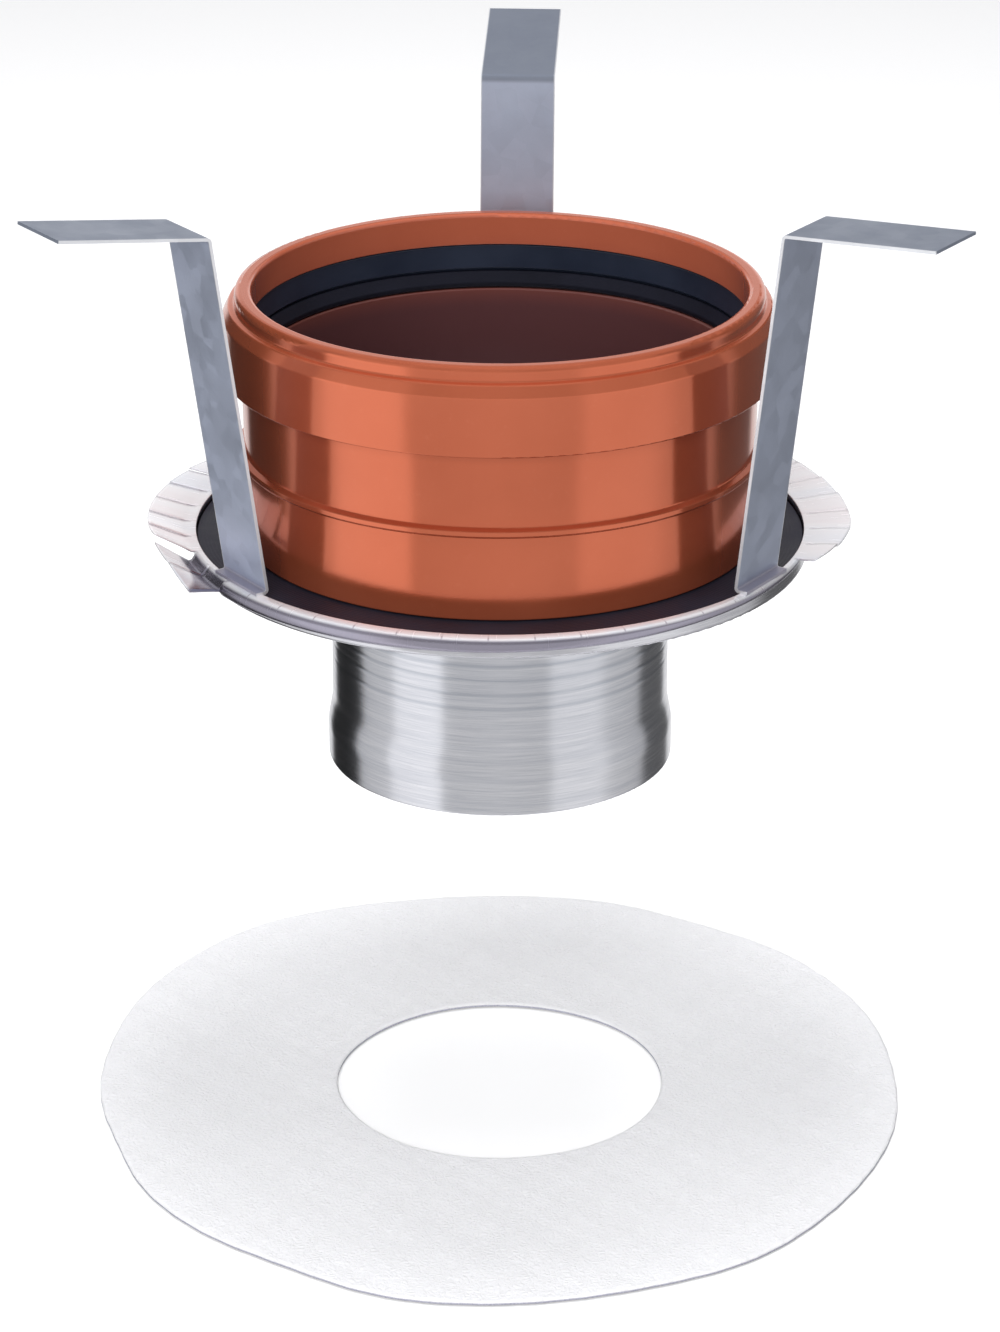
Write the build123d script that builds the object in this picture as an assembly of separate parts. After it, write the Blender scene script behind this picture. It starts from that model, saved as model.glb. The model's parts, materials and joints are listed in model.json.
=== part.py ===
from build123d import *
import math
import os

# Push-fit connector for a toilet or floor waste, hung in a cored hole in a slab.
# Millimetres. +Z is up along the pipe axis. Z = 0 is the plane of the pan's opening,
# which is also the plane where the collar meets the wall of the cored hole.

# ---- driving dimensions ----------------------------------------------------

# Socket for a 160 mm pipe
PIPE_RADIUS = 80.0
BORE_RADIUS = PIPE_RADIUS + 0.3
MOUTH_RADIUS = 82.3
NECK_RADIUS = 88.0
BEAD_RADIUS = 92.0
WAIST_RADIUS = 86.2
FOOT_RADIUS = 87.3
TAIL_RADIUS = 84.6
RIM_TOP = 84.2
SHOULDER_TOP = 79.4
BEAD_TOP = 75.2
BEAD_BOTTOM = 55.6
RIB_HEIGHT = 28.6
RIB_HALF = 1.6
RIB_RADIUS = 88.1
SOCKET_BASE = -1.0
TAIL_END = -8.0
STOP_TOP = 6.0
STOP_RADIUS = 77.0

# Seal chamber inside the bead
CHAMBER_RADIUS = 88.2
CHAMBER_TOP = 73.0
CHAMBER_BOTTOM = 57.6
SEAL_SPLIT = 63.4
LIP_RADIUS = PIPE_RADIUS + 0.05
LIP_ROOT_RADIUS = 82.6
RETAINER_RADIUS = 82.9

# Pan, spun from sheet
SHEET = 1.2
OPENING_RADIUS = 102.7
WALL_TOP = 0.1
LEDGE = -6.4
STEP_RADIUS = 85.6
STEP_END = -9.6
CONE_END = -22.5

# Outlet tube welded into the pan
TUBE_RADIUS = 57.4
TUBE_WALL = 1.8
TUBE_FLARE_RADIUS = 59.0
TUBE_TOP = -21.5
FLARE_START = -61.5
FLARE_END = -70.0
FLARE_ROUNDING = 18.0
TUBE_END = -82.5

# Rubber base ring
BASE_SEAL_TOP = -1.3
BASE_SEAL_INNER = 85.0

# Slit collar: a flat ring on the pan's wall, cut into petals that are bent by hand
PETALS = 45
COLLAR_SHEET = 0.5
COLLAR_RING = 103.9
COLLAR_BEND = 106.4
COLLAR_OUTER = 118.8
SLIT = 0.3
BEND_ROUNDING = 1.2
# Height of a petal's outer end above the ring, by azimuth, where petals stand out flat
STANDING = [(0, 0.6), (30, 1.2), (60, 1.6), (150, 0.4), (165, 2.2), (183, 4.0), (194, 7.0), (344, 1.0)]
# The petals that step down before they stand out: azimuth and height of the outer end
STEPPED = {200: 4.4, 208: -1.0}
STEP_DOWN = 3.4
# Petals from here to here are rolled under: azimuth and radius of the roll
ROLLED = [(213, 2.7), (240, 2.6), (270, 2.4), (290, 2.1), (305, 1.7), (319, 1.4), (332, 1.1), (340, 0.9)]
SHORT_PETALS = {344: 111.5, 352: 116.5}

# Hanger straps, bent from flat bar
STRAP_WIDTH = 26.0
STRAP_SHEET = 1.0
STRAP_FOOT_RADIUS = 99.8
STRAP_FOOT_LENGTH = 54.0
TAB_END = 104.6
BEND_RADIUS = 1.6
STRAPS = {
    "strap_back": {"azimuth": 86.9, "height": 124.6, "lean": 7.9, "foot_tilt": 12.0},
    "strap_left": {"azimuth": 214.7, "height": 123.0, "lean": 8.4, "foot_tilt": 8.8},
    "strap_right": {"azimuth": 326.2, "height": 123.0, "lean": 6.7, "foot_tilt": 4.0},
}

# Fleece ring, laid out below the tube
FLEECE_TOP = -211.5
FLEECE_THICKNESS = 2.5
FLEECE_RADIUS = 147.0
FLEECE_HOLE = 59.6


# ---- helpers ---------------------------------------------------------------

def turned(outline):
    """A solid of revolution about Z. Each point is (radius, z) or (radius, z, rounding)."""
    corners = [Vector(point[0], 0, point[1]) for point in outline]
    face = make_face(Polyline(*corners, close=True)).face()
    for point in outline:
        if len(point) == 3:
            corner = Vector(point[0], 0, point[1])
            nearest = min(face.vertices(), key=lambda v: (Vector(v) - corner).length)
            face = face.fillet_2d(point[2], [nearest])
    return revolve(face, Axis.Z, 360)


def bar_outline(path, thickness):
    """The side of a bent bar: the path, given a thickness to its right."""
    wire = Wire(path.edges())
    return make_face(wire.offset_2d(thickness, side=Side.RIGHT, closed=True).edges())


def save(name, shape):
    shape.label = name
    export_step(shape, f"parts/{name}.step")


# ---- socket body -----------------------------------------------------------

def pvc_socket():
    """Plastic push-fit socket with a seal chamber, a rib and a tail that enters the base ring."""
    return turned([
        (MOUTH_RADIUS, RIM_TOP, 1.4),
        (NECK_RADIUS, RIM_TOP, 2.2),
        (NECK_RADIUS, SHOULDER_TOP, 0.9),
        (NECK_RADIUS + 2.1, SHOULDER_TOP - 0.5, 0.8),
        (BEAD_RADIUS, BEAD_TOP, 1.6),
        (BEAD_RADIUS, BEAD_BOTTOM, 0.5),
        (WAIST_RADIUS, BEAD_BOTTOM - 0.6, 0.5),
        (WAIST_RADIUS - 0.4, RIB_HEIGHT + RIB_HALF, 0.4),
        (RIB_RADIUS, RIB_HEIGHT + 0.5 * RIB_HALF, 0.5),
        (RIB_RADIUS, RIB_HEIGHT - 0.5 * RIB_HALF, 0.5),
        (FOOT_RADIUS - 0.3, RIB_HEIGHT - RIB_HALF, 0.4),
        (FOOT_RADIUS, SOCKET_BASE, 0.6),
        (TAIL_RADIUS, SOCKET_BASE),
        (TAIL_RADIUS, TAIL_END, 1.0),
        (STOP_RADIUS, TAIL_END, 0.8),
        (STOP_RADIUS, STOP_TOP, 0.8),
        (BORE_RADIUS, STOP_TOP),
        (BORE_RADIUS, CHAMBER_BOTTOM, 0.6),
        (CHAMBER_RADIUS, CHAMBER_BOTTOM, 0.6),
        (CHAMBER_RADIUS, CHAMBER_TOP, 0.6),
        (MOUTH_RADIUS, CHAMBER_TOP, 0.4),
    ])


def lip_seal():
    """Rubber lip seal. Its lip slopes inwards and down from the root to the pipe's radius."""
    seat = 0.6
    lip_thickness = 2.2
    return turned([
        (CHAMBER_RADIUS - seat, SEAL_SPLIT, 0.5),
        (LIP_ROOT_RADIUS, SEAL_SPLIT, 0.8),
        (LIP_RADIUS, CHAMBER_BOTTOM + lip_thickness, 0.7),
        (LIP_RADIUS + 0.4, CHAMBER_BOTTOM + seat, 0.3),
        (CHAMBER_RADIUS - seat, CHAMBER_BOTTOM, 0.5),
    ])


def seal_retaining_ring():
    """Hard ring that snaps into the chamber above the lip seal and holds it down."""
    return turned([
        (CHAMBER_RADIUS - 0.6, CHAMBER_TOP - 0.3, 0.5),
        (RETAINER_RADIUS, CHAMBER_TOP - 0.3, 0.5),
        (RETAINER_RADIUS - 0.5, SEAL_SPLIT + 1.2, 0.4),
        (RETAINER_RADIUS + 0.6, SEAL_SPLIT, 0.4),
        (CHAMBER_RADIUS - 0.6, SEAL_SPLIT, 0.3),
    ])


# ---- outlet body -----------------------------------------------------------

def outlet_pan():
    """Shallow spun pan: plain rim, ledge for the base ring, and a cone down to the tube."""
    wall = OPENING_RADIUS + SHEET
    return turned([
        (OPENING_RADIUS, WALL_TOP),
        (wall, WALL_TOP),
        (wall, LEDGE - SHEET, 1.6),
        (STEP_RADIUS + SHEET, LEDGE - SHEET, 0.4),
        (STEP_RADIUS + SHEET, STEP_END - 0.7 * SHEET, 0.9),
        (TUBE_RADIUS, CONE_END - SHEET),
        (TUBE_RADIUS, CONE_END),
        (STEP_RADIUS, STEP_END, 0.4),
        (STEP_RADIUS, LEDGE, 1.2),
        (OPENING_RADIUS, LEDGE, 0.6),
    ])


def outlet_spigot():
    """Outlet tube, a little wider over its last part so that a pipe collar grips it."""
    flare_inner = TUBE_FLARE_RADIUS - TUBE_WALL
    tube_inner = TUBE_RADIUS - TUBE_WALL
    return turned([
        (tube_inner, TUBE_TOP),
        (TUBE_RADIUS, TUBE_TOP),
        (TUBE_RADIUS, FLARE_START, FLARE_ROUNDING),
        (TUBE_FLARE_RADIUS, FLARE_END, FLARE_ROUNDING),
        (TUBE_FLARE_RADIUS, TUBE_END, 0.8),
        (flare_inner, TUBE_END, 0.6),
        (flare_inner, FLARE_END, FLARE_ROUNDING),
        (tube_inner, FLARE_START, FLARE_ROUNDING),
    ])


def base_seal():
    """Flat rubber ring on the pan's ledge. The socket stands in it."""
    edge = 0.6
    return turned([
        (BASE_SEAL_INNER, BASE_SEAL_TOP, edge),
        (OPENING_RADIUS - 0.3, BASE_SEAL_TOP, edge),
        (OPENING_RADIUS - 0.3, LEDGE, edge),
        (STEP_RADIUS + 1.4, LEDGE),
        (BASE_SEAL_INNER, LEDGE + 1.4),
    ])


def between(points, azimuth):
    """The value at an azimuth on a line through (azimuth, value) points."""
    for (start, low), (end, high) in zip(points, points[1:]):
        if azimuth <= end:
            return low + (high - low) * (azimuth - start) / (end - start)
    return points[-1][1]


def petal_side(azimuth):
    """The side of a petal in the XZ plane, from the ring outwards, its top level with the ring."""
    top = WALL_TOP + COLLAR_SHEET
    start = (COLLAR_RING - 0.4, top)
    if azimuth in STEPPED:
        knee = (COLLAR_BEND + 1.6, top - STEP_DOWN)
        corners = [start, (COLLAR_BEND - 0.6, top), knee, (COLLAR_OUTER, top + STEPPED[azimuth])]
        return bent_sheet(corners, BEND_ROUNDING)
    if ROLLED[0][0] <= azimuth <= ROLLED[-1][0]:
        roll = between(ROLLED, azimuth)
        outer = COLLAR_RING - 0.1 + 1.4 * roll
        low = top - 2.0 * roll
        return bent_sheet([start, (outer, top), (outer, low), (outer - roll, low)], 0.96 * roll)
    end = (SHORT_PETALS.get(azimuth, COLLAR_OUTER), top + between(STANDING, azimuth))
    upper = [start, (COLLAR_BEND, top), end]
    lower = [(radius, z - COLLAR_SHEET) for radius, z in reversed(upper)]
    return make_face(Polyline(*[Vector(radius, 0, z) for radius, z in upper + lower], close=True))


def bent_sheet(corners, rounding):
    """The side of a collar sheet that is bent down, with rounded bends."""
    path = FilletPolyline(*[Vector(radius, 0, z) for radius, z in corners], radius=rounding)
    return bar_outline(path, COLLAR_SHEET)


def petal(azimuth):
    """One petal: its side, turned through the petal's width."""
    width = 360.0 / PETALS - math.degrees(SLIT / COLLAR_BEND)
    return revolve(petal_side(azimuth), Axis.Z, width).rotate(Axis.Z, azimuth - 0.5 * width)


def lamella_collar():
    """Thin ring on the pan's wall, slit into petals that are each bent to their own shape."""
    ring = turned([
        (OPENING_RADIUS, WALL_TOP),
        (COLLAR_RING, WALL_TOP),
        (COLLAR_RING, WALL_TOP + COLLAR_SHEET),
        (OPENING_RADIUS, WALL_TOP + COLLAR_SHEET),
    ])
    pitch = 360 // PETALS
    return ring.fuse(*[petal(azimuth) for azimuth in range(0, 360, pitch)])


def hanger_strap(height, lean, foot_tilt):
    """One bent strap in the XZ plane: welded tab, leaning upright and foot."""
    lean_angle = math.radians(lean)
    tilt_angle = math.radians(foot_tilt)
    tab_height = WALL_TOP + COLLAR_SHEET
    bend_x = STRAP_FOOT_RADIUS + height * math.tan(lean_angle)
    foot_x = bend_x + STRAP_FOOT_LENGTH * math.cos(tilt_angle)
    foot_z = height + STRAP_FOOT_LENGTH * math.sin(tilt_angle)
    spine = FilletPolyline(
        (TAB_END, 0, tab_height),
        (STRAP_FOOT_RADIUS, 0, tab_height),
        (bend_x, 0, height),
        (foot_x, 0, foot_z),
        radius=BEND_RADIUS,
    )
    side = bar_outline(spine, STRAP_SHEET)
    return extrude(side, 0.5 * STRAP_WIDTH, dir=(0, 1, 0), both=True)


# ---- fleece body -----------------------------------------------------------

def fleece_ring():
    """Nonwoven ring that is pushed up over the tube, against the underside of the pan."""
    return turned([
        (FLEECE_HOLE, FLEECE_TOP),
        (FLEECE_RADIUS, FLEECE_TOP),
        (FLEECE_RADIUS, FLEECE_TOP - FLEECE_THICKNESS),
        (FLEECE_HOLE, FLEECE_TOP - FLEECE_THICKNESS),
    ])


# ---- export ----------------------------------------------------------------

os.makedirs("parts", exist_ok=True)

save("pvc_socket", pvc_socket())
save("lip_seal", lip_seal())
save("seal_retaining_ring", seal_retaining_ring())
save("outlet_pan", outlet_pan())
save("outlet_spigot", outlet_spigot())
save("base_seal", base_seal())
save("lamella_collar", lamella_collar())
for strap_name, bend in STRAPS.items():
    strap = hanger_strap(bend["height"], bend["lean"], bend["foot_tilt"])
    save(strap_name, strap.rotate(Axis.Z, bend["azimuth"]))
save("fleece_ring", fleece_ring())
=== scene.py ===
import json
import math
import random

import bmesh
import bpy
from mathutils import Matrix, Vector


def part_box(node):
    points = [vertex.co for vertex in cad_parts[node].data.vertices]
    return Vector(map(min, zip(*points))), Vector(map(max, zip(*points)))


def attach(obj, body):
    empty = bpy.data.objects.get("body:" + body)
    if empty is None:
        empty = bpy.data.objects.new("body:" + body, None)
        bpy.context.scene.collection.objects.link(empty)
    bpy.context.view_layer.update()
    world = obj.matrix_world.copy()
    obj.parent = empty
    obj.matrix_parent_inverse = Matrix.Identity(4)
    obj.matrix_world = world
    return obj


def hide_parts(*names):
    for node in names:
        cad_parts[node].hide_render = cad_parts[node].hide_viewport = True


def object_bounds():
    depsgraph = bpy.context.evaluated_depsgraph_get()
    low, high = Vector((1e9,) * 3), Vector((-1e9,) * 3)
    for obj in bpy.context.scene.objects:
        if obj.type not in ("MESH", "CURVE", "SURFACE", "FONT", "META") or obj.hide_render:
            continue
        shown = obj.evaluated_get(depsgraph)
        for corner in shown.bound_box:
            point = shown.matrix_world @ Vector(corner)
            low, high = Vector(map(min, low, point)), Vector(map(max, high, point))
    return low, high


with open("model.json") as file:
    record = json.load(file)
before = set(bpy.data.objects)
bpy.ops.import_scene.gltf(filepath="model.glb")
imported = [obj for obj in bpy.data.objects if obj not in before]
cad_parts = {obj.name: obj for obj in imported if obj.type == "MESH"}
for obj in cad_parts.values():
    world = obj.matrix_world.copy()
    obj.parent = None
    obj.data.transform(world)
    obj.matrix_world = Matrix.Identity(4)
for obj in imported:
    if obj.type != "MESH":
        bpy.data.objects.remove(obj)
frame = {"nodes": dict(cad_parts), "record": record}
cad_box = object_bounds()

# ---- sizes in metres, angles in degrees ------------------------------------

# Camera
CAMERA_ELEVATION = 22.5
CAMERA_DISTANCE = 1.430
AIM_HEIGHT = -0.0527
LENS = 149.9
SENSOR_WIDTH = 36.0

# Collar: radii and heights in metres, azimuths in degrees from +X
PETALS = 45
COLLAR_RIM = 0.10275
COLLAR_RING = 0.1039
COLLAR_BEND = 0.1064
COLLAR_OUTER = 0.1188
COLLAR_SHEET = 0.00042
COLLAR_TOP = 0.0006
SLIT = 0.00022
# Height of a petal's outer end, in millimetres, where petals stand out flat
STANDING = [
    (0, 0.6), (30, 1.2), (60, 1.6), (150, 0.4), (165, 2.2),
    (183, 4.0), (196, 7.0), (340, 0.8), (360, 0.6),
]
# Where petals step down: their span, the heights of their outer ends, and the depth of the step
STEPPED_FROM = 196.0
STEPPED_TO = 212.0
STEPPED = [(196, 5.2), (204, 3.6), (212, -1.6)]
STEP_DOWN = 0.0034
# Radius of the roll, in millimetres, where petals are rolled under
ROLLED = [
    (212, 2.7), (240, 2.6), (270, 2.4), (290, 2.1), (305, 1.7), (319, 1.4), (332, 1.1), (340, 0.9),
]
ROLL_TURN = 195.0
# Radius of a petal's tip, in millimetres, where petals stand out but are shorter
SHORT = [(340, 110.4), (344, 113.0), (350, 116.0), (356, 118.2), (360, 118.8)]

# Fleece outline: azimuth in degrees and radius in millimetres at points along its cut edge
FLEECE_OUTLINE = [
    (-4, 141.6), (3, 141.5), (18, 143.7), (45, 148.2), (59, 146.6), (75, 151.3), (90, 150.9),
    (103, 150.5), (127, 156.6), (137, 153.0), (154, 148.3), (170, 143.8), (184, 142.3),
    (199, 140.5), (213, 145.0), (229, 146.6), (240, 147.0), (256, 154.0), (270, 153.3),
    (290, 151.0), (303, 151.0), (319, 146.3), (334, 143.4), (348, 142.1), (356, 141.6), (363, 141.5),
]
# Offsets in degrees that the outline is averaged over, which softens its corners
CORNER_SOFTENING = (-5.0, -2.5, 0.0, 2.5, 5.0)
FLEECE_HOLE = 0.0579
FLEECE_THICKNESS = 0.0018

# Straps: half of their width, and the heights where the foot ends and the tab begins, which also bound the
# painted reflection on the foot and the painted shade on the tab
STRAP_HALF_WIDTH = 0.013
STRAP_FOOT = (0.0014, 0.0032)
STRAP_TAB = (0.1215, 0.1232)

# Outlet tube: spacing of the deeper grooves near its top
GROOVE_PITCH = 0.0051

# Light: brightness of the surrounding walls by azimuth from the front, rising towards +X
WALLS = [
    (-180, 0.95), (-156, 0.95), (-151, 0.03), (-111, 0.03), (-106, 0.70), (-79, 0.80), (-76, 1.22),
    (-41, 1.28), (-38, 0.72), (0, 0.76), (33, 0.70), (36, 1.00), (70, 1.00), (80, 0.75), (108, 0.60),
    (114, 0.14), (149, 0.14), (154, 0.95), (180, 0.95),
]
# Soft lamps: name, place in metres, side in metres, power in watts
LAMPS = [
    ("key", (-0.35, -1.7, 0.8), 0.9, 20.0),
    ("top", (0.0, 0.1, 2.2), 2.0, 60.0),
]
LAMP_TARGET = (0, 0, -0.05)
FLOOR_HALF = 6.0
FLOOR_GAP = 0.0003


# ---- material helpers -------------------------------------------------------

class Shader:
    """A node material being built, with short calls for the nodes used here."""

    def __init__(self, name):
        self.material = bpy.data.materials.new(name)
        self.material.use_nodes = True
        self.tree = self.material.node_tree
        self.tree.nodes.clear()
        self.output = self.node("ShaderNodeOutputMaterial")
        self.surface = self.node("ShaderNodeBsdfPrincipled")
        self.link(self.surface.outputs["BSDF"], self.output.inputs["Surface"])
        self.place = self.node("ShaderNodeTexCoord").outputs["Object"]

    def node(self, kind, **settings):
        made = self.tree.nodes.new(kind)
        for key, value in settings.items():
            setattr(made, key, value)
        return made

    def link(self, source, target):
        self.tree.links.new(source, target)

    def set(self, **values):
        for key, value in values.items():
            self.surface.inputs[key.replace("_", " ")].default_value = value

    def math(self, operation, first, second=0.0):
        made = self.node("ShaderNodeMath", operation=operation)
        for slot, value in enumerate((first, second)):
            if isinstance(value, (int, float)):
                made.inputs[slot].default_value = value
            else:
                self.link(value, made.inputs[slot])
        return made.outputs[0]

    def split(self):
        made = self.node("ShaderNodeSeparateXYZ")
        self.link(self.place, made.inputs[0])
        return made.outputs["X"], made.outputs["Y"], made.outputs["Z"]

    def join(self, x, y, z):
        made = self.node("ShaderNodeCombineXYZ")
        for slot, value in enumerate((x, y, z)):
            if isinstance(value, (int, float)):
                made.inputs[slot].default_value = value
            else:
                self.link(value, made.inputs[slot])
        return made.outputs[0]

    def noise(self, scale, detail=3.0, roughness=0.5, vector=None):
        made = self.node("ShaderNodeTexNoise")
        made.inputs["Scale"].default_value = scale
        made.inputs["Detail"].default_value = detail
        made.inputs["Roughness"].default_value = roughness
        self.link(vector or self.place, made.inputs["Vector"])
        return made.outputs["Fac"]

    def cells(self, scale, feature="F1", output="Distance", vector=None):
        made = self.node("ShaderNodeTexVoronoi", feature=feature)
        made.inputs["Scale"].default_value = scale
        self.link(vector or self.place, made.inputs["Vector"])
        return made.outputs[output]

    def ramp(self, value, *stops):
        made = self.node("ShaderNodeValToRGB")
        ramp = made.color_ramp
        while len(ramp.elements) < len(stops):
            ramp.elements.new(0.5)
        for element, (position, colour) in zip(ramp.elements, stops):
            element.position = position
            element.color = (*colour, 1.0)
        self.link(value, made.inputs["Fac"])
        return made.outputs["Color"]

    def band(self, value, low, high, out_low=0.0, out_high=1.0):
        """Remaps a value from low..high to out_low..out_high, smoothly and clamped."""
        made = self.node("ShaderNodeMapRange", interpolation_type="SMOOTHSTEP")
        self.link(value, made.inputs["Value"])
        made.inputs["From Min"].default_value = low
        made.inputs["From Max"].default_value = high
        made.inputs["To Min"].default_value = out_low
        made.inputs["To Max"].default_value = out_high
        return made.outputs["Result"]

    def mix(self, factor, first, second):
        made = self.node("ShaderNodeMix", data_type="RGBA")
        for slot, value in ((0, factor), (6, first), (7, second)):
            if isinstance(value, (int, float)):
                made.inputs[slot].default_value = value
            elif isinstance(value, tuple):
                made.inputs[slot].default_value = (*value, 1.0)
            else:
                self.link(value, made.inputs[slot])
        return made.outputs[2]

    def bump(self, height, distance, strength=1.0, under=None):
        made = self.node("ShaderNodeBump")
        made.inputs["Strength"].default_value = strength
        made.inputs["Distance"].default_value = distance
        self.link(height, made.inputs["Height"])
        if under is not None:
            self.link(under, made.inputs["Normal"])
        return made.outputs["Normal"]

    def turned_tangent(self):
        tangent = self.node("ShaderNodeTangent", direction_type="RADIAL", axis="Z")
        self.link(tangent.outputs[0], self.surface.inputs["Tangent"])

    def radius(self):
        x, y, _ = self.split()
        return self.math("SQRT", self.math("ADD", self.math("MULTIPLY", x, x), self.math("MULTIPLY", y, y)))

    def azimuth(self):
        x, y, _ = self.split()
        return self.math("ARCTAN2", y, x)

    def finish(self, colour=None, roughness=None, normal=None):
        if colour is not None:
            self.link(colour, self.surface.inputs["Base Color"])
        if roughness is not None:
            self.link(roughness, self.surface.inputs["Roughness"])
        if normal is not None:
            self.link(normal, self.surface.inputs["Normal"])
        return self.material


# ---- materials --------------------------------------------------------------

def pvc_material():
    """Glossy moulded plastic: soft mottle, orange-peel bump, light rub marks, and painted shade inside,
    darker further down.
    """
    s = Shader("pvc_gloss")
    s.set(IOR=1.5, Coat_Weight=0.25, Coat_Roughness=0.06)
    _, _, height = s.split()
    radius = s.radius()
    mottle = s.noise(22.0, 4.0, 0.55)
    fine = s.noise(420.0, 2.0, 0.6)
    base = s.ramp(mottle, (0.3, (0.60, 0.138, 0.062)), (0.7, (0.66, 0.160, 0.076)))
    base = s.mix(s.band(fine, 0.60, 0.80, 0.0, 0.12), base, (0.76, 0.24, 0.14))
    # Painted shade: the bore inside the socket is darkened, more so further down.
    inside = s.band(radius, 0.0826, 0.0834, 1.0, 0.0)
    deep = s.band(height, 0.050, 0.078, 1.0, 0.30)
    base = s.mix(s.math("MULTIPLY", inside, deep), base, (0.105, 0.040, 0.042))
    s.link(s.math("SUBTRACT", 0.66, s.math("MULTIPLY", inside, 0.66)), s.surface.inputs["Metallic"])
    rings = s.noise(900.0, 2.0, 0.6, s.join(0.0, 0.0, height))
    rubs = s.noise(90.0, 4.0, 0.7, s.join(s.math("MULTIPLY", s.azimuth(), 0.02), radius, height))
    roughness = s.math("ADD", s.band(mottle, 0.3, 0.7, 0.14, 0.18), s.band(rubs, 0.55, 0.8, 0.0, 0.05))
    peel = s.bump(s.noise(500.0, 2.0, 0.5), 0.000012)
    normal = s.bump(rings, 0.00001, 0.6, peel)
    return s.finish(base, roughness, normal)


def rubber_material(name, tone, sheen_rings):
    """Black rubber: faint moulding rings, a dusty bloom and fine grain."""
    s = Shader(name)
    s.set(IOR=1.4, Specular_IOR_Level=0.25)
    _, _, height = s.split()
    bloom = s.noise(35.0, 4.0, 0.6)
    dust = s.noise(1500.0, 2.0, 0.7)
    base = s.ramp(bloom, (0.3, tone), (0.75, tuple(1.7 * value for value in tone)))
    base = s.mix(s.band(dust, 0.66, 0.8, 0.0, 0.05), base, (0.16, 0.17, 0.20))
    rings = s.math("SINE", s.math("MULTIPLY", s.math("ADD", s.radius(), height), sheen_rings))
    grain = s.bump(dust, 0.00005)
    normal = s.bump(rings, 0.00003, 0.5, grain)
    return s.finish(base, s.band(bloom, 0.3, 0.7, 0.38, 0.52), normal)


def retainer_material():
    """Hard blue-black plastic ring with a satin surface and fine turning marks."""
    s = Shader("retainer_satin")
    s.set(IOR=1.5)
    _, _, height = s.split()
    patch = s.noise(40.0, 3.0, 0.5)
    base = s.ramp(patch, (0.3, (0.014, 0.020, 0.036)), (0.7, (0.022, 0.030, 0.052)))
    marks = s.noise(1400.0, 2.0, 0.6, s.join(0.0, 0.0, height))
    return s.finish(base, s.band(patch, 0.3, 0.7, 0.30, 0.40), s.bump(marks, 0.00003))


def pan_material():
    """Spun metal: fine rings round the axis, streaks, and a little dulling."""
    s = Shader("pan_spun")
    s.set(Metallic=1.0, Anisotropic=0.5, Anisotropic_Rotation=0.25)
    s.turned_tangent()
    _, _, height = s.split()
    line = s.join(s.math("MULTIPLY", s.azimuth(), 0.004), 0.0, s.math("ADD", s.radius(), height))
    fine = s.noise(1500.0, 4.0, 0.65, line)
    stain = s.noise(30.0, 4.0, 0.6)
    tone = s.ramp(fine, (0.36, (0.56, 0.56, 0.60)), (0.60, (0.70, 0.70, 0.74)))
    tone = s.mix(s.band(stain, 0.5, 0.8, 0.0, 0.18), tone, (0.44, 0.45, 0.50))
    rough = s.math("ADD", s.band(fine, 0.3, 0.7, 0.18, 0.28), s.band(stain, 0.5, 0.8, 0.0, 0.06))
    return s.finish(tone, rough, s.bump(fine, 0.00001))


def spigot_material():
    """Turned tube: hair-fine cutting rings, a few deeper ones near the top with painted shade in them, and
    faint stains.
    """
    s = Shader("spigot_turned")
    s.set(Metallic=1.0, Anisotropic=0.6, Anisotropic_Rotation=0.25)
    s.turned_tangent()
    _, _, height = s.split()
    line = s.join(s.math("MULTIPLY", s.azimuth(), 0.0012), 0.0, height)
    hair = s.noise(2600.0, 3.0, 0.6, line)
    broad = s.noise(420.0, 3.0, 0.6, line)
    stain = s.noise(26.0, 4.0, 0.6)
    wave = s.math("SINE", s.math("MULTIPLY", height, 2.0 * math.pi / GROOVE_PITCH))
    deep = s.math("POWER", s.math("MULTIPLY", s.math("ADD", wave, 1.0), 0.5), 5.0)
    near_top = s.band(height, -0.052, -0.042)
    grooves = s.math("MULTIPLY", deep, near_top)
    tone = s.ramp(hair, (0.32, (0.56, 0.57, 0.61)), (0.66, (0.72, 0.72, 0.76)))
    tone = s.mix(s.band(broad, 0.40, 0.62, 0.30, 0.0), tone, (0.44, 0.46, 0.52))
    # Painted shade darkens the deeper grooves.
    tone = s.mix(s.math("MULTIPLY", grooves, 0.35), tone, (0.20, 0.24, 0.30))
    tone = s.mix(s.band(stain, 0.5, 0.8, 0.0, 0.15), tone, (0.48, 0.47, 0.52))
    rough = s.math("ADD", s.band(hair, 0.3, 0.7, 0.17, 0.25), s.band(stain, 0.5, 0.8, 0.0, 0.05))
    cut = s.bump(s.math("MULTIPLY", grooves, -1.0), 0.00006, 1.0, s.bump(broad, 0.00004, 0.8))
    return s.finish(tone, rough, s.bump(hair, 0.000012, 0.8, cut))


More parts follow.
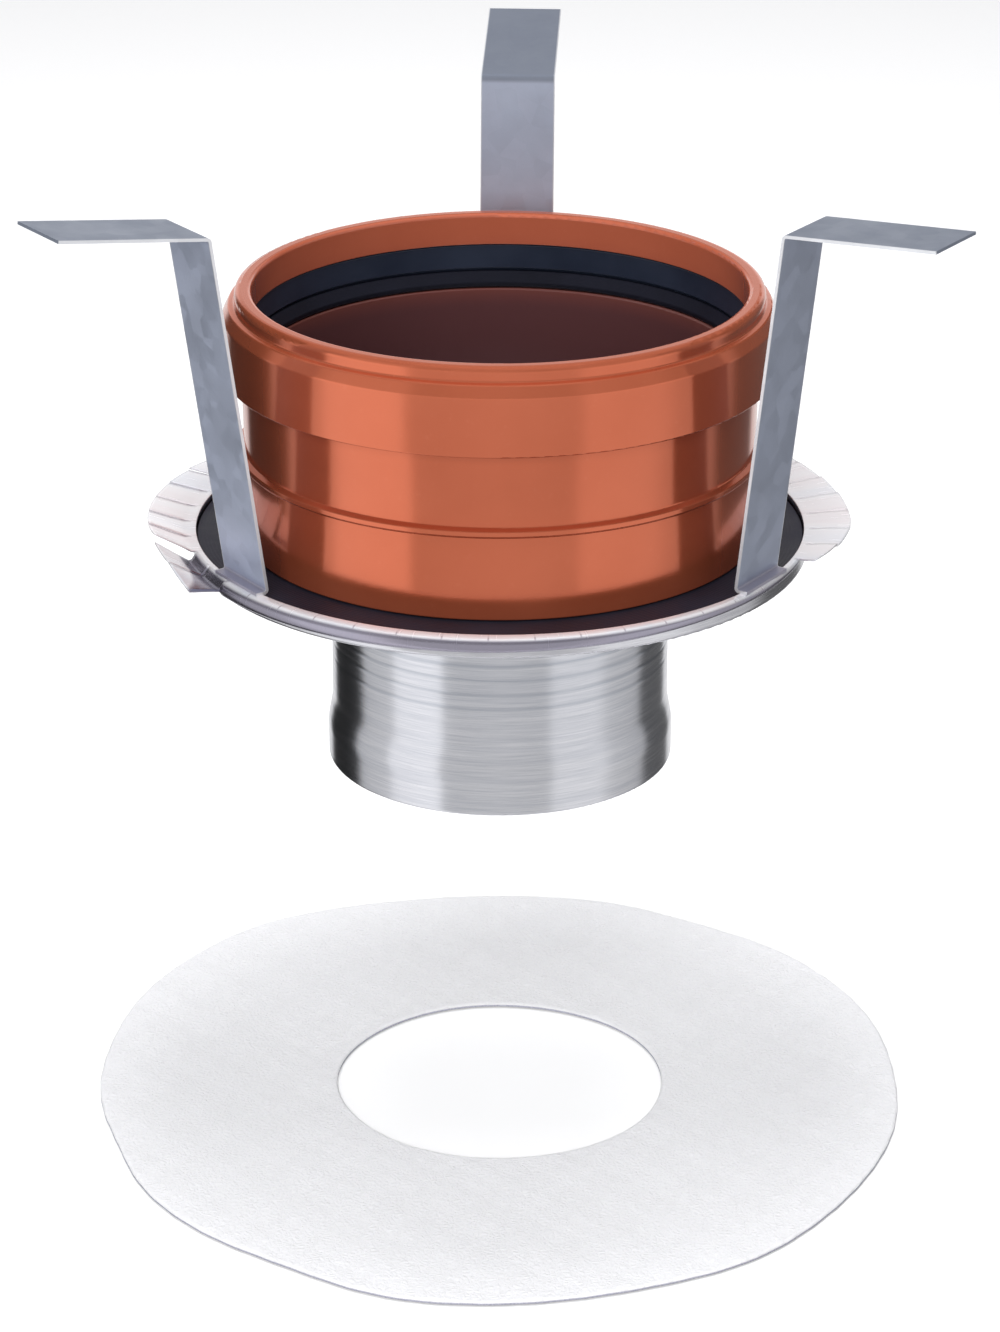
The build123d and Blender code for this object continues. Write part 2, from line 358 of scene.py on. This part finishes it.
def collar_material():
    """Thin bright sheet: radial brushing, tinted streaks, painted shade along the slit lines, darkest at
    their inner ends, and painted shade on the rolled and stepped-down parts.
    """
    s = Shader("collar_bright")
    angle = s.azimuth()
    radius = s.radius()
    _, _, height = s.split()
    s.link(s.band(height, -0.0008, 0.0002, 0.9, 0.4), s.surface.inputs["Metallic"])
    fan = s.join(s.math("MULTIPLY", angle, 0.11), s.math("MULTIPLY", radius, 0.03), 0.0)
    brush = s.noise(900.0, 4.0, 0.7, fan)
    tint = s.noise(60.0, 2.0, 0.5, fan)
    base = s.ramp(tint, (0.34, (0.90, 0.85, 0.88)), (0.5, (0.93, 0.92, 0.95)), (0.66, (0.86, 0.88, 0.94)))
    base = s.mix(s.band(brush, 0.55, 0.75, 0.0, 0.12), base, (0.66, 0.62, 0.68))
    # Painted shade along the slits between petals, darkest at their inner ends.
    petals_round = s.math("MULTIPLY", s.math("ADD", angle, math.pi / PETALS), PETALS / math.pi)
    from_slit = s.math("PINGPONG", petals_round, 1.0)
    line = s.band(from_slit, 0.02, 0.05, 1.0, 0.0)
    root = s.math("MULTIPLY", s.band(radius, 0.1050, 0.1056), s.band(radius, 0.1078, 0.1086, 1.0, 0.0))
    flat = s.band(height, -0.0006, 0.0003)
    slit_shade = s.math("MULTIPLY", line, s.math("ADD", 0.22, s.math("MULTIPLY", root, 0.45)))
    base = s.mix(s.math("MULTIPLY", slit_shade, flat), base, (0.34, 0.28, 0.33))
    # Painted shade on the parts below the sheet's top, where petals are rolled under or step down.
    base = s.mix(s.math("MULTIPLY", s.math("SUBTRACT", 1.0, flat), 0.9), base, (0.30, 0.28, 0.36))
    return s.finish(base, s.band(brush, 0.3, 0.7, 0.20, 0.28), s.bump(brush, 0.000005))


def strap_material(name, azimuth, painted_light_gain):
    """Galvanised flat bar: soft spangle, a painted light gain per strap, painted shade darkening the tab, a
    painted reflection toning the foot, and bright sheared edges.
    """
    s = Shader(name)
    s.set(Metallic=0.75)
    x, y, height = s.split()
    turned = math.radians(azimuth)
    along_x = s.math("MULTIPLY", y, math.cos(turned))
    along_y = s.math("MULTIPLY", x, -math.sin(turned))
    offset = s.math("ABSOLUTE", s.math("ADD", along_x, along_y))
    spangle = s.cells(150.0, output="Color")
    cloud = s.noise(45.0, 4.0, 0.6)
    grain = s.noise(1100.0, 2.0, 0.6)
    tone = s.node("ShaderNodeRGBToBW")
    s.link(spangle, tone.inputs[0])
    low = tuple(painted_light_gain * value for value in (0.430, 0.470, 0.580))
    high = tuple(painted_light_gain * value for value in (0.475, 0.515, 0.630))
    base = s.ramp(tone.outputs[0], (0.1, low), (0.9, high))
    base = s.mix(s.band(cloud, 0.35, 0.75, 0.0, 0.15), base, (0.36, 0.395, 0.48))
    base = s.mix(s.band(grain, 0.60, 0.80, 0.0, 0.20), base, (0.48, 0.53, 0.61))
    # Painted shade: the strap is darkened above where the tab begins.
    base = s.mix(s.band(height, *STRAP_TAB, 0.0, 0.8), base, (0.27, 0.30, 0.37))
    # Painted reflection: the foot, below where it ends, is toned lavender like the flange.
    base = s.mix(s.band(height, *STRAP_FOOT, 1.0, 0.0), base, (0.50, 0.48, 0.57))
    edge = s.band(offset, STRAP_HALF_WIDTH - 0.0005, STRAP_HALF_WIDTH - 0.0001)
    base = s.mix(edge, base, (0.86, 0.88, 0.92))
    worn = s.band(cloud, 0.3, 0.7, 0.42, 0.55)
    crystals = s.band(tone.outputs[0], 0.2, 0.9, -0.04, 0.04)
    ripple = s.bump(cloud, 0.00006, 0.5)
    return s.finish(base, s.math("ADD", worn, crystals), s.bump(grain, 0.00003, 1.0, ripple))


def fleece_material():
    """White needled nonwoven: matted fibres, tiny pores and a soft surface."""
    s = Shader("fleece_needled")
    s.set(Sheen_Weight=0.25, Sheen_Roughness=0.5, Roughness=0.95, IOR=1.35)
    warp = s.node("ShaderNodeVectorMath", operation="ADD")
    shift = s.node("ShaderNodeTexNoise")
    shift.inputs["Scale"].default_value = 160.0
    s.link(s.place, shift.inputs["Vector"])
    pull = s.node("ShaderNodeVectorMath", operation="SCALE")
    pull.inputs["Scale"].default_value = 0.004
    s.link(shift.outputs["Color"], pull.inputs[0])
    s.link(s.place, warp.inputs[0])
    s.link(pull.outputs[0], warp.inputs[1])
    tangled = warp.outputs[0]
    strands = s.cells(520.0, feature="DISTANCE_TO_EDGE", vector=tangled)
    pores = s.cells(900.0, vector=tangled)
    felt = s.noise(1400.0, 4.0, 0.7, tangled)
    cloud = s.noise(55.0, 3.0, 0.6)
    base = s.ramp(felt, (0.30, (0.93, 0.93, 0.97)), (0.55, (0.98, 0.98, 1.0)))
    base = s.mix(s.band(pores, 0.0, 0.28, 0.30, 0.0), base, (0.78, 0.79, 0.86))
    base = s.mix(s.band(cloud, 0.45, 0.75, 0.0, 0.35), base, (0.96, 0.96, 0.98))
    tangle = s.math("ADD", s.math("MULTIPLY", strands, 2.0), felt)
    return s.finish(base, None, s.bump(tangle, 0.0004, 0.7))


def fleece_side_shade_material():
    """The cut edge of the fleece, painted a little greyer as shade on its side faces."""
    s = Shader("fleece_side_painted_shade")
    s.set(Roughness=0.95, IOR=1.35)
    fibres = s.noise(1600.0, 3.0, 0.7)
    base = s.ramp(fibres, (0.30, (0.46, 0.46, 0.58)), (0.65, (0.68, 0.68, 0.78)))
    return s.finish(base, None, s.bump(fibres, 0.0002))


def floor_material():
    """Pale matt paper with a fine tooth, lit a little from within."""
    s = Shader("floor_paper")
    s.set(Roughness=0.9, Specular_IOR_Level=0.0)
    s.set(Emission_Color=(0.98, 0.985, 1.0, 1.0), Emission_Strength=0.2)
    tooth = s.noise(300.0, 3.0, 0.6)
    base = s.ramp(tooth, (0.3, (0.955, 0.955, 0.96)), (0.7, (0.975, 0.975, 0.98)))
    return s.finish(base, None, s.bump(tooth, 0.00005))


def dress(node, material):
    """Gives a carried-over CAD node a better material."""
    target = frame["nodes"][node]
    for slot in target.material_slots:
        slot.material = material


# ---- collar -----------------------------------------------------------------

def between(points, azimuth):
    """The value at an azimuth on a line through (azimuth, value) points."""
    for (start, low), (end, high) in zip(points, points[1:]):
        if azimuth <= end:
            return low + (high - low) * (azimuth - start) / (end - start)
    return points[-1][1]


def eased(share):
    """A share from 0 to 1 with a slow start and end."""
    return share * share * (3.0 - 2.0 * share)


def petal_line(azimuth, middle_azimuth, shift):
    """Radius and height along a petal at an azimuth, from the slit's inner end to the petal's tip."""
    steps = 14
    points = []
    if ROLLED[0][0] < middle_azimuth < ROLLED[-1][0]:
        roll = 0.001 * between(ROLLED, azimuth)
        outer = COLLAR_RING - 0.0001 + 1.4 * roll + 0.3 * shift
        middle = outer - roll
        for step in range(steps + 1):
            turn = math.radians(ROLL_TURN) * step / steps
            points.append((middle + roll * math.sin(turn), COLLAR_TOP - roll + roll * math.cos(turn)))
        return points
    for step in range(steps + 1):
        share = step / steps
        if STEPPED_FROM < middle_azimuth < STEPPED_TO:
            radius = COLLAR_RING + 0.0007 + (COLLAR_OUTER - COLLAR_RING - 0.0007) * share
            fall = eased(min(1.0, (radius - COLLAR_RING) / 0.0040))
            out = max(0.0, radius - COLLAR_RING - 0.0030) / (COLLAR_OUTER - COLLAR_RING - 0.0030)
            end = 0.001 * between(STEPPED, azimuth) + shift
            height = COLLAR_TOP - STEP_DOWN * fall + (end + STEP_DOWN) * out
        else:
            tip = 0.001 * between(SHORT, azimuth) if azimuth >= SHORT[0][0] else COLLAR_OUTER
            radius = COLLAR_RING + 0.0007 + (tip - COLLAR_RING - 0.0007) * share
            out = max(0.0, radius - COLLAR_BEND) / (COLLAR_OUTER - COLLAR_BEND)
            height = COLLAR_TOP + (0.001 * between(STANDING, azimuth) + shift) * out
        points.append((radius, height))
    return points


def collar():
    """The slit collar: petals that stand out, step down or are rolled under by their azimuth."""
    rng = random.Random(11)
    pitch = 360.0 / PETALS
    across = 8
    mesh = bmesh.new()
    for petal in range(PETALS):
        middle = petal * pitch
        shift = rng.uniform(-0.0003, 0.0003)
        louvre = rng.uniform(0.00012, 0.00030)
        slit = math.degrees(SLIT / COLLAR_BEND)
        if ROLLED[0][0] < middle < ROLLED[-1][0]:
            shift, louvre, slit = 0.0, 0.0, 0.0
        columns = []
        for count in range(across + 1):
            side = 2.0 * count / across - 1.0
            azimuth = (middle + 0.5 * side * (pitch - slit)) % 360.0
            inner = math.radians(middle + 0.5 * side * pitch)
            line = petal_line(azimuth, middle, shift)
            column = [
                (COLLAR_RIM, COLLAR_TOP - 0.0001, inner),
                (COLLAR_RIM + 0.0003, COLLAR_TOP, inner),
                (COLLAR_RING, COLLAR_TOP, inner),
                (0.5 * (COLLAR_RING + line[0][0]), COLLAR_TOP, inner),
            ]
            for step, (radius, height) in enumerate(line):
                share = step / (len(line) - 1)
                lean = louvre * side * eased(min(1.0, 2.0 * share))
                column.append((radius, height + lean, math.radians(azimuth)))
            columns.append([
                mesh.verts.new((r * math.cos(t), r * math.sin(t), z - 0.5 * COLLAR_SHEET))
                for r, z, t in column
            ])
        for near, far in zip(columns, columns[1:]):
            for count in range(len(near) - 1):
                mesh.faces.new((near[count], near[count + 1], far[count + 1], far[count]))
    bmesh.ops.remove_doubles(mesh, verts=mesh.verts, dist=0.000002)
    piece = mesh_object("collar_petals", mesh)
    shell = piece.modifiers.new("sheet", "SOLIDIFY")
    shell.thickness = COLLAR_SHEET
    shell.offset = 0.0
    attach(piece, "outlet")
    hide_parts("lamella_collar")
    piece.data.materials.append(collar_material())


# ---- fleece -----------------------------------------------------------------

def fleece_radius(angle):
    """The hand-cut outline's radius at an angle in radians, with its corners softened."""
    azimuth = math.degrees(angle) % 360.0
    first = -FLEECE_OUTLINE[0][0]
    total = 0.0
    for step in CORNER_SOFTENING:
        total += between(FLEECE_OUTLINE, (azimuth + step + first) % 360.0 - first)
    return 0.001 * total / len(CORNER_SOFTENING)


def fleece():
    """The fleece ring: an uneven hand-cut ring of matted fibre, soft at its edges."""
    low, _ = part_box("fleece_ring")
    around = 360
    rings = 56
    rng = random.Random(5)
    phases = [rng.uniform(0.0, 6.283) for _ in range(8)]
    mesh = bmesh.new()

    def point(angle, share, side):
        """A place on the top (side 1) or bottom (side -1), from the hole (0) to the outside (1)."""
        nick = 0.00025 * math.sin(9 * angle + phases[0]) + 0.00008 * math.sin(61 * angle + phases[1])
        outer = fleece_radius(angle) + nick
        inner = FLEECE_HOLE + 0.0002 * math.sin(5 * angle + phases[2])
        radius = inner + (outer - inner) * share
        x, y = radius * math.cos(angle), radius * math.sin(angle)
        edge = min(share, 1.0 - share) * (outer - inner)
        soft = min(1.0, edge / 0.0012)
        swell = math.sqrt(max(0.0, 1.0 - (1.0 - soft) ** 2))
        loft = 0.00016 * math.sin(210 * x + phases[3]) * math.sin(190 * y + phases[4])
        loft += 0.00010 * math.sin(520 * x + 90 * y + phases[5]) * math.sin(470 * y + phases[6])
        middle = low[2] + 0.5 * FLEECE_THICKNESS
        half = 0.5 * FLEECE_THICKNESS * (0.35 + 0.65 * swell)
        return x, y, middle + side * half + (loft * soft if side > 0 else 0.0)

    def spread(ring):
        """The share of the width at a ring, with rings closer together near both edges."""
        t = ring / rings
        return t - 0.11 * math.sin(2.0 * math.pi * t)

    sides = {}
    for side in (1, -1):
        grid = []
        for ring in range(rings + 1):
            share = spread(ring)
            angles = [2 * math.pi * k / around for k in range(around)]
            grid.append([mesh.verts.new(point(angle, share, side)) for angle in angles])
        sides[side] = grid
        for inner, outer in zip(grid, grid[1:]):
            for k in range(around):
                n = (k + 1) % around
                corners = (inner[k], outer[k], outer[n], inner[n])
                mesh.faces.new(corners if side > 0 else corners[::-1])
    # The side faces at the hole and the outer edge take the second material, painted shade.
    for ring, flip in ((0, True), (rings, False)):
        top, bottom = sides[1][ring], sides[-1][ring]
        for k in range(around):
            n = (k + 1) % around
            corners = (top[k], bottom[k], bottom[n], top[n])
            side_face = mesh.faces.new(corners[::-1] if flip else corners)
            side_face.material_index = 1
    piece = mesh_object("fleece_felt", mesh)
    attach(piece, "fleece")
    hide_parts("fleece_ring")
    piece.data.materials.append(fleece_material())
    piece.data.materials.append(fleece_side_shade_material())


def mesh_object(name, mesh, smooth=True):
    """An object in the scene made from a bmesh, which is freed."""
    data = bpy.data.meshes.new(name)
    mesh.normal_update()
    mesh.to_mesh(data)
    mesh.free()
    made = bpy.data.objects.new(name, data)
    bpy.context.scene.collection.objects.link(made)
    for polygon in data.polygons:
        polygon.use_smooth = smooth
    return made


# ---- studio -----------------------------------------------------------------

def studio_floor():
    """A large plain floor just under the part, which metal and plastic do not mirror."""
    height = cad_box[0][2] - FLOOR_GAP
    sheet = bmesh.new()
    for x, y in ((-1, -1), (1, -1), (1, 1), (-1, 1)):
        sheet.verts.new((x * FLOOR_HALF, y * FLOOR_HALF, height))
    sheet.faces.new(sheet.verts)
    ground = mesh_object("floor", sheet, smooth=False)
    ground.data.materials.append(floor_material())
    ground.visible_glossy = False
    ground.visible_diffuse = False


def studio_walls():
    """Soft surrounding light that changes round the part, under a pale ceiling."""
    world = bpy.data.worlds.new("studio")
    world.use_nodes = True
    bpy.context.scene.world = world
    tree = world.node_tree
    tree.nodes.clear()

    def node(kind, **settings):
        made = tree.nodes.new(kind)
        for key, value in settings.items():
            setattr(made, key, value)
        return made

    def remap(value, kind, **limits):
        made = node("ShaderNodeMapRange", interpolation_type=kind)
        for key, limit in limits.items():
            made.inputs[key.replace("_", " ")].default_value = limit
        tree.links.new(value, made.inputs["Value"])
        return made.outputs["Result"]

    coords = node("ShaderNodeTexCoord")
    split = node("ShaderNodeSeparateXYZ")
    tree.links.new(coords.outputs["Generated"], split.inputs[0])
    flip = node("ShaderNodeMath", operation="MULTIPLY")
    flip.inputs[1].default_value = -1.0
    tree.links.new(split.outputs["Y"], flip.inputs[0])
    turn = node("ShaderNodeMath", operation="ARCTAN2")
    tree.links.new(split.outputs["X"], turn.inputs[0])
    tree.links.new(flip.outputs[0], turn.inputs[1])

    cards = node("ShaderNodeValToRGB")
    ramp = cards.color_ramp
    while len(ramp.elements) < len(WALLS):
        ramp.elements.new(0.5)
    for element, (azimuth, level) in zip(ramp.elements, WALLS):
        element.position = (azimuth + 180.0) / 360.0
        element.color = (level, level, level, 1.0)
    azimuth_share = remap(turn.outputs[0], "LINEAR", From_Min=-math.pi, From_Max=math.pi)
    tree.links.new(azimuth_share, cards.inputs["Fac"])

    ceiling = node("ShaderNodeMix", data_type="RGBA")
    ceiling.inputs[7].default_value = (0.80, 0.80, 0.83, 1.0)
    overhead = remap(split.outputs["Z"], "SMOOTHSTEP", From_Min=0.55, From_Max=0.8)
    tree.links.new(overhead, ceiling.inputs[0])
    tree.links.new(cards.outputs["Color"], ceiling.inputs[6])

    dimmed = node("ShaderNodeMix", data_type="RGBA", blend_type="MULTIPLY")
    dimmed.inputs[0].default_value = 1.0
    raised = remap(split.outputs["Z"], "SMOOTHSTEP", From_Min=0.15, From_Max=0.40, To_Min=1.0, To_Max=0.50)
    tree.links.new(ceiling.outputs[2], dimmed.inputs[6])
    tree.links.new(raised, dimmed.inputs[7])

    ray = node("ShaderNodeLightPath")
    seen = node("ShaderNodeMix", data_type="RGBA")
    seen.inputs[7].default_value = (0.97, 0.97, 0.975, 1.0)
    tree.links.new(ray.outputs["Is Camera Ray"], seen.inputs[0])
    tree.links.new(dimmed.outputs[2], seen.inputs[6])

    background = node("ShaderNodeBackground")
    softened = remap(ray.outputs["Is Diffuse Ray"], "LINEAR", To_Min=1.0, To_Max=0.5)
    tree.links.new(softened, background.inputs["Strength"])
    tree.links.new(seen.outputs[2], background.inputs["Color"])
    output = node("ShaderNodeOutputWorld")
    tree.links.new(background.outputs[0], output.inputs["Surface"])


def studio_lamps():
    """Soft area lamps, which metal and plastic do not mirror."""
    for name, place, size, power in LAMPS:
        light = bpy.data.lights.new(name, "AREA")
        light.size = size
        light.energy = power
        lamp = bpy.data.objects.new(name, light)
        lamp.location = place
        towards = Vector(LAMP_TARGET) - Vector(place)
        lamp.rotation_euler = towards.to_track_quat("-Z", "Y").to_euler()
        lamp.visible_glossy = False
        bpy.context.scene.collection.objects.link(lamp)


def camera():
    """The camera, in front of the part and tilted down at it."""
    scene = bpy.context.scene
    lens = bpy.data.cameras.new("camera")
    lens.sensor_fit = "HORIZONTAL"
    lens.sensor_width = SENSOR_WIDTH
    lens.lens = LENS
    lens.clip_end = 50.0
    view = bpy.data.objects.new("camera", lens)
    tilt = math.radians(CAMERA_ELEVATION)
    height = AIM_HEIGHT + CAMERA_DISTANCE * math.sin(tilt)
    view.location = (0.0, -CAMERA_DISTANCE * math.cos(tilt), height)
    view.rotation_euler = (math.radians(90.0) - tilt, 0.0, 0.0)
    scene.collection.objects.link(view)
    scene.camera = view


# ---- build ------------------------------------------------------------------

def strap_azimuth(name):
    """The azimuth of a strap, from its foot's mount in the record."""
    for mount in frame["record"]["mounts"]:
        if mount["name"] == name:
            return math.degrees(math.atan2(mount["pos_m"][1], mount["pos_m"][0]))
    raise KeyError(name)


dress("pvc_socket", pvc_material())
# The lip seal's rubber is toned darker than the base seal's: its own black, darkened as painted shade
# inside the socket.
dress("lip_seal", rubber_material("seal_black", (0.007, 0.0075, 0.013), 9000.0))
dress("seal_retaining_ring", retainer_material())
dress("base_seal", rubber_material("base_black", (0.014, 0.014, 0.022), 5200.0))
dress("outlet_pan", pan_material())
dress("outlet_spigot", spigot_material())
# Each strap's brightness gain is painted light: lit and shaded copies of one galvanised finish.
for side, painted_light_gain in (("back", 1.22), ("left", 1.36), ("right", 1.08)):
    dress(f"strap_{side}", strap_material(f"galvanised_{side}", strap_azimuth(f"foot_{side}"), painted_light_gain))
collar()
fleece()
studio_floor()
studio_walls()
studio_lamps()
bpy.context.scene.view_settings.view_transform = "Standard"
camera()
